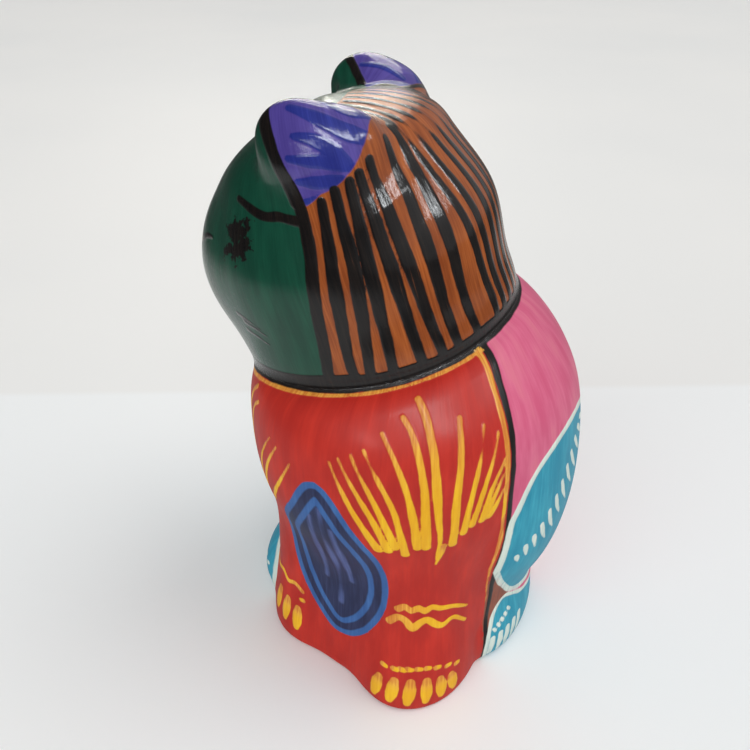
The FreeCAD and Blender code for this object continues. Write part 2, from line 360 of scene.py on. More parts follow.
def inside(outline, a, b):
    """Which of the places (a, b) lie inside a closed outline."""
    result = np.zeros(len(a), bool)
    for (a0, b0), (a1, b1) in zip(outline, outline[1:] + outline[:1]):
        crosses = (b0 > b) != (b1 > b)
        with np.errstate(divide="ignore", invalid="ignore"):
            result ^= crosses & (a < (a1 - a0) * (b - b0) / (b1 - b0) + a0)
    return result


def patch(outline, reach=CUT_OFF):
    """Signed distance to a closed outline given in (theta, z), up to reach."""
    line = flow(at_body(outline + outline[:1]))
    gap = np.full(len(skin), reach)
    lo, hi = line.min(0) - reach, line.max(0) + reach
    near = np.nonzero(((skin > lo) & (skin < hi)).all(1))[0]
    for a, b in zip(line, line[1:]):
        ab = b - a
        t = np.clip((skin[near] - a) @ ab / max(ab @ ab, 1e-9), 0, 1)
        gap[near] = np.minimum(gap[near], np.linalg.norm(skin[near] - a - t[:, None] * ab, axis=1))
    smooth = [tuple(p) for p in flow([(a, b, 0) for a, b in outline + outline[:1]], 1.0)[:, :2]]
    return np.where(inside(smooth, theta, skin[:, 2]), -gap, gap)


def mirror(points):
    """The same (theta, z) places on the other side of the body."""
    return [(-a, b) for a, b in points]


# -------------------- paint: the body
on_body = ~on_head
LAYERS = {name: Layer() for name in ("pink", "teal", "rust", "green", "violet", "tear", "yellow",
                                     "black", "cream", "navy", "streak", "eye", "nose", "smudge")}


def body_line(layer, points, widths):
    """A stroke through (theta, z) places on the body."""
    LAYERS[layer].line(at_body(points), widths, on_body)


def head_line(layer, points, widths):
    """A stroke through (phi, w) places on the head."""
    LAYERS[layer].line(at_head(points), widths, on_head)


SIDE_Z = (0, 10, 20, 30, 40, 50, 60, 72)
SIDE_THETA = (62.0, 62.0, 63.0, 60.5, 60.5, 59.2, 59.2, 60.0)
z_at = skin[:, 2]
radius = np.hypot(skin[:, 0], skin[:, 1])
side_line = np.interp(z_at, SIDE_Z, SIDE_THETA)
LAYERS["pink"].field(-np.radians(np.abs(theta) - side_line) * radius, on_body)

HAUNCH_EDGE = [(61.5, 28), (61.3, 35), (61.5, 42), (63, 45), (67, 50), (72, 53), (80, 55), (90, 56),
               (102, 55.5), (114, 52.5), (124, 46), (129, 38), (128, 29), (122, 21), (112, 15),
               (100, 12.5), (85, 14), (75, 17), (70, 20), (66, 23), (63, 26)]
PAW_EDGE = [(63, -1), (62.5, 4), (64, 9), (67, 13), (72, 15.5), (78, 14.2), (86, 12), (95, 10.5),
            (104, 9), (112, 6), (114, -1)]
RUST_EDGE = [(60.5, -1), (60.5, 14), (60.5, 27), (62, 27), (66, 22.5), (70, 19.5), (75, 16.6),
             (72, 14.5), (66, 12), (63.5, 8), (63.5, -1)]
TICKS = [((66.4, 32.6), (67.6, 30.6)), ((69, 34.8), (70.6, 31.8)), ((72, 36.6), (74, 33.0)),
         ((75, 38.4), (76.8, 35.6), (79, 33.4)), ((78.4, 40.6), (80, 37.6), (82.6, 35.0)),
         ((81.6, 42.8), (83.4, 39.8), (86.4, 37)), ((85, 45), (87, 42), (90.4, 38.8)),
         ((88.2, 47.2), (90.6, 44.2), (94.6, 41)), ((91.6, 49.2), (94.4, 46.4), (98.6, 43.2)),
         ((95.4, 50.8), (98.6, 48.4), (103, 45.6)), ((99.2, 52), (103, 50.2), (107.4, 47.8)),
         ((103.4, 52.6), (107.4, 51.4), (112, 49.6))]
FAN = [((5.5, 58.5), (11, 51), (16, 45), (19, 41)), ((8, 59.5), (13, 54), (18, 48), (22, 41)),
       ((11.5, 60.5), (17, 54), (21, 48), (24, 42)), ((15, 61.5), (20, 56), (24, 50), (27, 40)),
       ((19.5, 64), (24, 60), (27, 55), (29, 49), (30.5, 42)),
       ((25, 66), (28, 64), (30.5, 60), (32, 54), (32.5, 48), (33, 42)),
       ((29.5, 68), (32, 66), (34, 62), (35, 57), (36, 50), (37, 44), (36.5, 38)),
       ((42.5, 65.5), (42, 60), (41, 52), (41, 42)), ((50, 64), (47, 57), (45, 50), (44, 44.5)),
       ((54.5, 62.5), (50.5, 56), (48, 50), (46.5, 46)), ((56, 58), (52, 53), (49.5, 46.5)),
       ((55.5, 55), (53, 51), (50.5, 47)), ((56, 52), (54, 49), (52, 47))]
FAN_WIDTHS = [(0.5, 1.0, 1.5)] * 4 + [(0.6, 1.1, 1.6)] + [(0.9, 1.3, 1.7), (1.1, 1.5, 0.5)] \
    + [(0.8, 1.2, 1.6)] + [(0.5, 0.9, 1.3)] * 5
WAVES = [([(24.5, 24), (27, 25), (29, 24.1), (31.5, 25), (33.5, 24.1), (36, 25), (39, 24.2), (44, 23.4),
           (50, 21.3)], (1.5, 1.4, 1.1, 0.6)),
         ([(21.5, 20.2), (24.6, 22), (27.5, 21.4), (29.5, 19.8), (32, 21.2), (34.4, 21.9), (37, 20.6),
           (40, 19.6), (44, 20.4), (49.5, 17.6)], (1.5, 1.7, 1.3, 0.7))]
FAR_WAVES = [([(-19, 14.6), (-23, 15.4), (-27, 14.6), (-31, 15.6), (-36, 14.8), (-41, 15.2)],
              (1.1, 1.0, 0.6))]
TOES = [((19.2, 7.2), (18.0, 4.6), (17.2, 2.4)), ((24.4, 7.6), (23.6, 5), (22.8, 2.6)),
        ((29.6, 7.7), (29.2, 5), (28.6, 2.4)), ((34.6, 7.5), (34.6, 5), (34.4, 2.4)),
        ((39.2, 6.9), (39.6, 4.8), (39.8, 2.6)), ((43.4, 6.3), (44.2, 4.4), (44.8, 2.6))]
DOTS = [(20.0, 10.2), (23.6, 10.2), (26.0, 10.4), (28.4, 10.6), (31.4, 10.6), (34.4, 10.5),
        (37.8, 10.0), (41.6, 9.2), (45.2, 8.2)]
FAR_TOES = [((20, 9.6), (20, 6.8), (20.2, 4.4)), ((25.4, 10.2), (25.8, 7.4), (26.2, 4.8)),
            ((31, 10.6), (31.6, 7.8), (32.2, 5.2))]
FAR_DOTS = [(18, 12.4)]
TEAR_HALF = [(53.4, 0), (52.4, 3.2), (50, 6.2), (46, 9.8), (40, 14.8), (34, 18.2), (28, 19.4),
             (22, 18), (17, 14.6), (13, 9.6), (10.4, 3.4)]
TEAR_MIDDLE = 0.6
# on the right side the fan is turned back, shrunk towards its foot and painted thinner
FAN_TURN, FAN_FOOT, FAN_TALL, FAN_THIN = 3.0, 41, 0.76, 0.75
RING_SHIFT, RING_PITCH = 7, 21  # the tail's black rings, degrees along its sweep

for side in (1, -1):
    flip = list if side > 0 else mirror
    LAYERS["teal"].field(patch(flip(HAUNCH_EDGE)), on_body)
    LAYERS["teal"].field(patch(flip(PAW_EDGE)), on_body)
    LAYERS["rust"].field(patch(flip(RUST_EDGE)), on_body)
    body_line("cream", flip(HAUNCH_EDGE + HAUNCH_EDGE[:1]), (1.3, 1.3))
    body_line("cream", flip(PAW_EDGE[:-1]), (1.0, 1.0, 0.9, 0.7))
    for tick in TICKS:
        body_line("cream", flip(tick), (1.0, 1.25, 0.9, 0.4))
    for i in range(5):
        body_line("cream", flip([(66 + 2.3 * i, 8.6 + 0.7 * i), (66.9 + 2.3 * i, 8.0 + 0.7 * i)]),
                  (0.8, 0.8))
        body_line("cream", flip([(65.5 + 4.4 * i, 6.2 + 0.25 * i), (65 + 4.4 * i, 1.6)]),
                  (1.4, 1.6, 1.0))
    for i, (path, widths) in enumerate(zip(FAN, FAN_WIDTHS)):
        if side < 0:
            if i % 3 == 1:
                continue
            path = [(a + FAN_TURN, FAN_FOOT + (z - FAN_FOOT) * FAN_TALL) for a, z in path]
            widths = tuple(FAN_THIN * w for w in widths)
        body_line("yellow", flip(path), widths)
    toes, dots = (TOES, DOTS) if side > 0 else (FAR_TOES, FAR_DOTS)
    for toe in toes:
        body_line("yellow", flip(toe), (1.7, 2.5, 2.4, 1.5))
    for a, z in dots:
        body_line("yellow", flip([(a, z), (a + 1.3, z - 0.1)]), (1.1, 0.9))
    for path, widths in (WAVES if side > 0 else FAR_WAVES):
        body_line("yellow", path, widths)

# the right hind paw's forward part, its edge, toes and dashes
far_paw = toes_right(*skin.T)
near_far_paw = on_body & (theta < -20) & (theta > -100)
LAYERS["teal"].field(far_paw - 0.5, near_far_paw)
LAYERS["cream"].field(np.abs(far_paw - 0.9) - 0.5, near_far_paw & (theta > -61))
for i in range(5):
    body_line("cream", [(-44 - 4.6 * i, 6.6 + 0.3 * i), (-44 - 4.8 * i, 2.2)], (1.0, 1.5, 1.0))
    body_line("cream", [(-45 - 4 * i, 10.2 + 0.5 * i), (-46.5 - 4 * i, 9.8 + 0.5 * i)], (0.9, 0.9))

tail_gap = tail(*skin.T)
tail_turn = np.degrees(np.arctan2(skin[:, 1] - TAIL_AT[1], skin[:, 0] - TAIL_AT[0]))
on_tail = on_body & (np.abs(tail_gap) < 1.5)
ring_gap = np.abs((tail_turn + RING_SHIFT) % RING_PITCH - RING_PITCH / 2) * math.radians(1) * TAIL_SWEEP
LAYERS["black"].field(np.maximum(ring_gap - 1.3, tail_gap - 0.4), on_tail)
LAYERS["black"].field(np.abs(tail_gap - 0.7) - 0.45, on_body & (tail_gap < 1.5) & (z_at > 2))
body_line("yellow", [(38.2, 42), (37.4, 39), (36.4, 36.6)], (1.2, 1.2, 0.5))

# the black line between chest and back, and the yellow one just in front of it
beside = np.radians(np.abs(theta) - side_line) * radius
beside = np.where((theta < 0) & (far_paw < 1.5), CUT_OFF, beside)
LAYERS["black"].field(np.abs(beside) - np.interp(z_at, (0, 30, 60, 74), (0.6, 0.48, 0.52, 0.75)),
                      on_body)
LAYERS["yellow"].field(np.abs(beside + np.interp(z_at, (0, 60, 74), (1.1, 1.15, 1.5)))
                       - np.interp(z_at, (6, 20, 50, 74), (-0.3, 0.2, 0.38, 0.5)), on_body)

# the blue teardrop, its strokes, and the lines under the head's rim
tear_edge = [(TEAR_MIDDLE + 1.06 * a, z) for z, a in TEAR_HALF] \
    + [(TEAR_MIDDLE - 1.06 * a - 2.8 * max(0.0, math.sin(math.pi * min(z - 11, 35) / 35)), z)
       for z, a in TEAR_HALF[:0:-1]]
LAYERS["tear"].field(patch(tear_edge, 3 * CUT_OFF), on_body)
for a0, a1, top, foot in ((-2.5, -6, 45, 24), (1.5, 0.5, 47.5, 18.5), (4.5, 6, 43, 26)):
    body_line("streak", [(a0, top), ((a0 + a1) / 2, (top + foot) / 2), (a1, foot)], (0.9, 1.7, 1.1))
LAYERS["black"].field(head_all - 0.9, on_body)
LAYERS["yellow"].field(np.abs(head_all - 1.2) - 0.3,
                       on_body & (np.abs(theta) < side_line - 1) & (z_at > 40))

# -------------------- paint: the head
u_at, v_at, w_at = head_at.T
RIM_PHI = (-180, -90, -40, -10, 0, 12, 25, 35, 60, 90, 180)
RIM_W = (5.0, 5.6, 5.4, 4.9, 4.6, 3.7, 3.6, 3.3, 4.2, 4.4, 5.0)
LAYERS["black"].field(w_at - np.interp(phi, RIM_PHI, RIM_W), on_head & (w_at < 8))

# ears: violet behind, black along the front edge, green in front
EAR_MIDDLE, EAR_REACH = np.array([15.5, 2.2, 39.6]), 9.6
side_u = np.abs(u_at)
front = np.maximum(1.0 - 0.19 * (w_at - 33), -0.8 + 0.53 * (15.5 - side_u)) + 1.2 * (u_at < 0)
behind_front = (v_at - front) * 0.93
ear_gap = np.sqrt((side_u - EAR_MIDDLE[0]) ** 2 + (v_at - EAR_MIDDLE[1]) ** 2
                  + (w_at - EAR_MIDDLE[2]) ** 2)
reach = EAR_REACH + 1.1 * np.clip((side_u - 17) / 3, 0, 1) * np.clip((4 - v_at) / 3, 0, 1)
LAYERS["violet"].field(np.maximum(ear_gap - reach, -behind_front - 0.3), on_head & (w_at > 27))
band_half = np.where(u_at < 0, 0.75, 1.1)
LAYERS["black"].field(np.abs(behind_front + band_half) - band_half,
                      on_head & (w_at > 31) & (ear_gap < 10.6) & (side_u > 8.5))
LAYERS["black"].field(np.abs(ear_gap - 9.9) - 0.3, on_head & (u_at < 0) & (behind_front > 0)
                      & (w_at > 27))

EAR_BANDS = [([(17.7, 2.0, 43.7), (17.7, 5.8, 40.9), (16.9, 8.6, 38.1), (14.7, 10.8, 35.4)],
              (1.1, 2.3, 2.7, 1.5)),
             ([(20.1, 2.4, 40.4), (19.9, 5.0, 39.2), (19.6, 7.2, 37.1), (19.1, 9.4, 33.9)],
              (1.0, 2.0, 2.3, 1.3)),
             ([(20.7, 1.1, 37.7), (21.0, 4.4, 36.7), (20.3, 7.0, 35.7), (19.0, 9.6, 33.8)],
              (1.0, 1.9, 2.2, 1.2)),
             ([(21.1, 1.3, 34.4), (21.4, 4.7, 33.6), (20.9, 6.8, 33.3), (20.0, 8.6, 33.0)],
              (1.0, 1.9, 2.0, 1.0)),
             ([(21.2, 1.6, 31.5), (21.5, 3.9, 31.4), (21.3, 6.3, 31.4)], (1.0, 1.6, 0.8)),
             ([(15.2, 5.4, 41.8), (15.1, 8.2, 39.1), (12.0, 10.1, 36.1)], (0.9, 1.7, 1.1)),
             ([(8.3, 4.1, 40.7), (9.5, 7.4, 39.3), (10.6, 9.7, 37.4)], (0.8, 1.4, 1.0)),
             ([(12.8, 2.6, 43.4), (12.7, 5.6, 41.6), (12.2, 8.4, 39.0)], (0.9, 1.5, 1.0))]
for path, widths in EAR_BANDS:
    for side in (1, -1):
        points = settle(from_head(np.array(path) * (side, 1, 1)), head_only)
        LAYERS["navy"].line(points, widths, on_head)
LAYERS["navy"].gap = np.maximum(LAYERS["navy"].gap, LAYERS["violet"].gap)

BAND_W = (0, 5, 8, 14, 20, 24, 30, 33, 37)
BAND_V = (-3.2, -2.9, -2.4, -1.5, -0.5, 0.3, 0.45, 0.0, -0.9)
crown = np.clip((w_at - 35.5) / 2.5, 0, 1)
hairline = np.where(crown > 0, np.minimum(4.0, -2.0 + 0.53 * (15.5 - side_u)), -9)
band_v = np.interp(w_at, BAND_W, BAND_V)
LAYERS["green"].field(v_at - np.maximum(band_v, band_v + (hairline - band_v) * crown), on_head)
BAND_PHI = [(-7.2, 3), (-7, 5), (-5.7, 8), (-3.5, 14), (-1.0, 20), (0.8, 24), (1.2, 28), (1.0, 31),
            (-0.5, 34)]
LAYERS["green"].field(behind_front + 0.3, on_head & (u_at < 0) & (w_at > 33) & (ear_gap < 9.6))
for side in (1, -1):
    band = [(a if side > 0 else 180 - a, w) for a, w in BAND_PHI]
    head_line("black", band, (2.0, 2.1, 2.1, 2.2))

# stripes: bottom angle, then the angle at w = 8, 20 and 28 for those that run up to an ear
EAR_STRIPES = [(3, 3, 7, 9.5), (8.5, 10.5, 15, 16), (17.5, 18.5, 20.5, 22), (29, 28.5, 28, 27.5),
               (38, 36.5, 34.5, 33.5), (45, 44, 43.5, 43.5), (55.5, 53.5, 53, 52.5)]
EAR_STOPS = (31.0, 32.0, 32.6, 33.2, 34.4, 36.0, 36.8)
CROWN_STRIPES = [(68, 67.5, 64, 60), (75, 74, 71, 67)] \
    + [(b, b - 1, b - 3, b - 6 + (b - 82) * 0.07) for b in (82, 89, 96, 103, 110, 117.5, 125, 133, 141)]
STRIPE_W = (3.0, 8.0, 20.0, 28.0)
for stripe, stop in zip(EAR_STRIPES, EAR_STOPS):
    lean = stripe[3] + (stripe[3] - stripe[2]) * (stop - 28) / 8
    for side in (1, -1):
        path = [(a if side > 0 else 180 - a, w) for a, w in zip(stripe + (lean,), STRIPE_W + (stop,))]
        head_line("black", path, (1.7, 1.9, 2.3, 2.0, 1.5))
for stripe in CROWN_STRIPES:
    top_u = 10 * math.cos(math.pi * (stripe[0] - 55) / 90)
    top_v = 14.8 - 0.035 * top_u ** 2
    path = np.vstack([at_head(list(zip(stripe, STRIPE_W))),
                      at_crown([(top_u, top_v), (0.87 * top_u, 0.62 * top_v),
                                (0.74 * top_u, 4.6)])])
    LAYERS["black"].line(path, (1.7, 1.9, 1.75, 1.25, 1.0, 0.8), on_head)

# face: brow line, eye outlines, nose and mouth, whisker strokes, and a painted dark reflection on each
# cheek
EYE = [(-68, 26.4), (-72, 28.0), (-77, 28.4), (-82, 27.2), (-85, 24.8), (-81, 23.8), (-76, 23.4),
       (-71, 24.6)]
# black brushy patches behind each eye: a painted dark reflection, where the varnish mirrors something
# dark
DARK_REFLECTION_STROKES = [([(-43, 29.0), (-36, 28.6), (-28, 29.2)], (2.0, 4.2, 2.2)),
          ([(-41, 25.6), (-34, 26.2), (-27, 27.0)], (2.6, 4.4, 2.0))]
for side in (1, -1):
    face = list if side > 0 else (lambda pts: [(-180 - a, w) for a, w in pts])
    head_line("black", face(EYE + EYE[:1]), (1.3, 1.3))
    head_line("eye", face([(-70.5, 26.2), (-76, 26), (-81.5, 25.4)]), (3.0, 4.8, 2.6))
    head_line("black", face([(-76.5, 28), (-76.5, 23.8)]), (1.0, 1.9, 1.0))
    head_line("black", face([(-68, 26.2), (-61, 27.2), (-55, 27.2)]), (1.3, 1.0, 0.5))
    for path, widths in DARK_REFLECTION_STROKES:
        head_line("smudge", face(path), widths)
    head_line("black", face([(-2, 29), (-10, 30), (-20, 30.5), (-35, 33)]), (1.6, 1.5, 1.2))
    for a, w in ((-44, 15.4), (-41, 14.0), (-42, 12.4)):
        head_line("black", face([(a, w), (a + 6, w - 0.9), (a + 12, w - 2.3)]), (0.7, 0.5, 0.2))
    head_line("black", face([(-90, 18.0), (-90, 14.6), (-80, 11.4), (-69, 11.6)]), (0.9, 0.9, 0.6))
head_line("nose", [(-97, 21.8), (-90, 20.6), (-83, 21.8)], (2.0, 3.2, 2.0))
head_line("black", [(-90, 20.5), (-90, 17.0)], (0.8, 0.8))

# -------------------- pieces: cut the skin along the joints
clay_lumps = {}
for side, hand in ((1, "left"), (-1, "right")):
    for kind in LUMPS:
        clay_lumps["%s_%s" % (hand, kind)] = lump(kind, side, *skin.T)
clay_lumps["right_hind_paw"] = np.minimum(clay_lumps["right_hind_paw"], toes_right(*skin.T))
clay_lumps["tail"] = tail(*skin.T)
SCALARS = sorted(LAYERS)
RUN_LAYERS = ("yellow", "cream")
columns = [skin, normals] + [LAYERS[n].gap[:, None] for n in SCALARS]
columns += [LAYERS[n].run[:, None] for n in RUN_LAYERS]
turn = np.where(on_head, np.radians(phi), np.radians(theta))
brush = np.stack([24 * np.cos(turn), 24 * np.sin(turn), np.where(on_head, w_at, z_at)], 1)
columns += [brush]

# the first columns of the paint distances, places along strokes, brush space and cuts
GAPS = 6
RUNS = GAPS + len(SCALARS)
BRUSH = RUNS + len(RUN_LAYERS)
FIRST_CUT = BRUSH + 3
BACK_AT = 14                    # the joint of chest and back lies this far in front of the middle
cuts = {"head": head_all - body_all, "rear": -v_at, "back": -(skin[:, 1] + BACK_AT)}
for side, hand in ((1, "left"), (-1, "right")):
    cuts[hand + "_ear"] = ear_shape(side, *head_at.T) - head_core
for name, gap in clay_lumps.items():
    others = [body_core] + [g for n, g in clay_lumps.items() if n != name]
    cuts[name] = gap - np.minimum.reduce(others)
SLAB_X, SLAB_Y, SLAB_YC = 20.0, 24.8, -1.0      # the floor slab's underside
slab_rho = np.sqrt((skin[:, 0] / SLAB_X) ** 2 + ((skin[:, 1] - SLAB_YC) / SLAB_Y) ** 2)
cuts["slab"] = (slab_rho - 1) * SLAB_X
cuts["slab"] = np.where(z_at < 0.3, cuts["slab"], np.maximum(cuts["slab"], 1.0))
CUTS = list(cuts)
table = np.hstack(columns + [cuts[c][:, None] for c in CUTS])


def divide(table, tris, column, snap=0.05):
    """Split triangles along the zero line of one column; new points go on the edges."""
    value = table[:, column]
    value[np.abs(value) < snap] = 0
    sign = np.sign(value)
    corner = sign[tris]
    split = (corner.max(1) > 0) & (corner.min(1) < 0)
    keep, work = tris[~split], tris[split]
    if not len(work):
        return table, tris
    corner = sign[work]
    # turn each triangle so that its first corner is alone on its side
    lone = np.where((corner == 0).any(1), (corner == 0).argmax(1),
                    (corner == -np.sign(corner.sum(1))[:, None]).argmax(1))
    order = (lone[:, None] + np.arange(3)) % 3
    work = np.take_along_axis(work, order, 1)
    corner = np.take_along_axis(corner, order, 1)
    flat = corner[:, 0] == 0
    edges = np.vstack([work[flat][:, 1:], work[~flat][:, :2], work[~flat][:, ::2]])
    key = np.sort(edges, 1)
    unique, place = np.unique(key, axis=0, return_inverse=True)
    place = place.reshape(-1) + len(table)
    a, b = table[unique[:, 0]], table[unique[:, 1]]
    share = a[:, column] / (a[:, column] - b[:, column])
    new = a + (b - a) * share[:, None]
    new[:, column] = 0
    nf, nl = flat.sum(), (~flat).sum()
    f, g = work[flat], work[~flat]
    m, p, q = place[:nf], place[nf:nf + nl], place[nf + nl:]
    parts = [keep, np.stack([f[:, 0], f[:, 1], m], 1), np.stack([f[:, 0], m, f[:, 2]], 1),
             np.stack([g[:, 0], p, q], 1), np.stack([p, g[:, 1], q], 1),
             np.stack([g[:, 1], g[:, 2], q], 1)]
    return np.vstack([table, new]), np.vstack(parts)


for i in range(len(CUTS)):
    table, tris = divide(table, tris, FIRST_CUT + i)
side_of = {c: table[tris][:, :, FIRST_CUT + i].mean(1) < 0 for i, c in enumerate(CUTS)}
owner = np.full(len(tris), "chest_shell", dtype="U20")
owner[side_of["back"]] = "back_shell"
for name in clay_lumps:
    owner[side_of[name] & ~side_of["head"]] = name
owner[side_of["head"]] = "face_shell"
owner[side_of["head"] & side_of["rear"]] = "head_rear_shell"
for hand in ("left", "right"):
    owner[side_of["head"] & side_of[hand + "_ear"]] = hand + "_ear"
owner[side_of["slab"]] = "none"           # the floor slab's CAD node shows here
SMALL_PATCH = 400               # triangles


def join_patches(owner, tris):
    """Give each small patch cut off from its piece to the piece it shares most edges with."""
    edges = np.sort(np.vstack([tris[:, (0, 1)], tris[:, (1, 2)], tris[:, (2, 0)]]), 1)
    order = np.lexsort((edges[:, 1], edges[:, 0]))
    face = np.tile(np.arange(len(tris)), 3)[order]
    shared = (edges[order][1:] == edges[order][:-1]).all(1)
    a, b = face[:-1][shared], face[1:][shared]
    inner = owner[a] == owner[b]
    group, before = np.arange(len(tris)), None
    while before is None or (group != before).any():
        before = group.copy()
        low = np.minimum(group[a[inner]], group[b[inner]])
        np.minimum.at(group, before[a[inner]], low)
        np.minimum.at(group, before[b[inner]], low)
        while (group[group] != group).any():
            group = group[group]
    small = (np.bincount(group, minlength=len(tris))[group] < SMALL_PATCH) & (owner != "none")
    a, b = np.concatenate([a, b]), np.concatenate([b, a])
    edge = small[a] & ~small[b] & (owner[b] != "none")
    for one in np.unique(group[small]):
        names, count = np.unique(owner[b[edge & (group[a] == one)]], return_counts=True)
        if len(names):
            owner[group == one] = names[count.argmax()]


join_patches(owner, tris)


# -------------------- materials: a small node writer
def srgb(r, g, b):
    """Screen colour 0-255 to linear."""
    return tuple(c / 3294.6 if c < 10.31 else ((c / 255 + 0.055) / 1.055) ** 2.4
                 for c in (r, g, b)) + (1,)


class Tree:
    """Writes shader nodes; every method returns an output socket."""

    def __init__(self, name):
        self.material = bpy.data.materials.new(name)
        self.material.use_nodes = True
        self.nodes = self.material.node_tree.nodes
        self.links = self.material.node_tree.links
        self.nodes.clear()

    def node(self, kind, inputs=(), **settings):
        node = self.nodes.new("ShaderNode" + kind)
        for key, value in settings.items():
            setattr(node, key, value)
        for key, value in dict(inputs).items():
            if isinstance(value, bpy.types.NodeSocket):
                self.links.new(value, node.inputs[key])
            else:
                node.inputs[key].default_value = value
        return node

    def attribute(self, name, vector=False):
        node = self.node("Attribute", attribute_name=name)
        return node.outputs["Vector" if vector else "Fac"]

    def math(self, operation, *values):
        return self.node("Math", dict(enumerate(values)), operation=operation).outputs[0]

    def mad(self, value, factor, plus):
        """value * factor + plus"""
        return self.math("MULTIPLY_ADD", value, factor, plus)

    def ramp(self, value, low, high, to_low=0.0, to_high=1.0):
        """A smooth step from to_low at low to to_high at high."""
        return self.node("MapRange", {0: value, 1: low, 2: high, 3: to_low, 4: to_high},
                         interpolation_type="SMOOTHSTEP").outputs[0]

    def mix(self, share, a, b):
        node = self.nodes.new("ShaderNodeMix")
        node.data_type = "RGBA"
        for socket, value in ((node.inputs[0], share), (node.inputs[6], a), (node.inputs[7], b)):
            if isinstance(value, bpy.types.NodeSocket):
                self.links.new(value, socket)
            else:
                socket.default_value = value
        return node.outputs[2]

    def noise(self, place, scale, detail=2.0, roughness=0.5, output="Fac"):
        return self.node("TexNoise", {"Vector": place, "Scale": scale, "Detail": detail,
                                      "Roughness": roughness}).outputs[output]

    def place(self, source, scale):
        return self.node("Mapping", {"Vector": source, "Scale": scale}).outputs[0]

    def bump(self, height, strength=1.0, distance=MM):
        return self.node("Bump", {"Strength": strength, "Distance": distance,
                                  "Height": height}).outputs[0]

    def surface(self, inputs):
        """End the tree in one shader with these inputs."""
        shader = self.node("BsdfPrincipled", inputs)
        self.links.new(shader.outputs[0], self.node("OutputMaterial").inputs[0])
        return self.material


